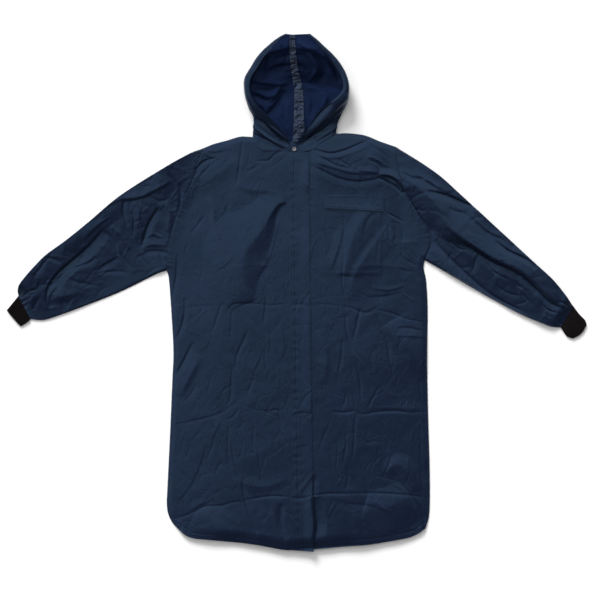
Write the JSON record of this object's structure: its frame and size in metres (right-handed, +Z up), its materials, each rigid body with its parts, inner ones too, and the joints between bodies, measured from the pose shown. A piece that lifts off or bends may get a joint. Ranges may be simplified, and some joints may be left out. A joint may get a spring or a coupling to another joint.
{
  "type": "long-sleeved rain poncho",
  "caption": "Hooded long-sleeved rain poncho in coated cloth, laid flat face up: full front opening under a storm flap, chest pocket with flap, ribbed knit cuffs, open hood",
  "frame": {"origin": "bottom centre of the bounding box, on the surface that the garment lies on", "axes": "+X towards the wearer's left, across both sleeves; +Y from the hem towards the hood; +Z up out of the surface"},
  "size_m": [1.576, 1.398, 0.051],
  "materials": {
    "coated_cloth": "navy woven cloth with a thin waterproof coating, soft sheen",
    "hood_cloth": "the same cloth, its uncoated side showing inside the hood",
    "rib_knit": "black ribbed knit, matt",
    "seam_tape": "clear heat-sealed tape over navy cloth, crinkled and shiny",
    "snap_metal": "grey metal snap cap, polished"
  },
  "bodies": {
    "root": {"back_panel": "coated_cloth", "front_right": "coated_cloth", "front_left": "coated_cloth", "front_placket": "coated_cloth", "chest_pocket": "coated_cloth", "pocket_flap": "coated_cloth", "sleeve_right": "coated_cloth", "sleeve_left": "coated_cloth", "cuff_right": "rib_knit", "cuff_left": "rib_knit", "hood_right": "hood_cloth", "hood_left": "hood_cloth", "hood_seam_tape": "seam_tape", "neck_snap": "snap_metal"}
  },
  "joints": []
}
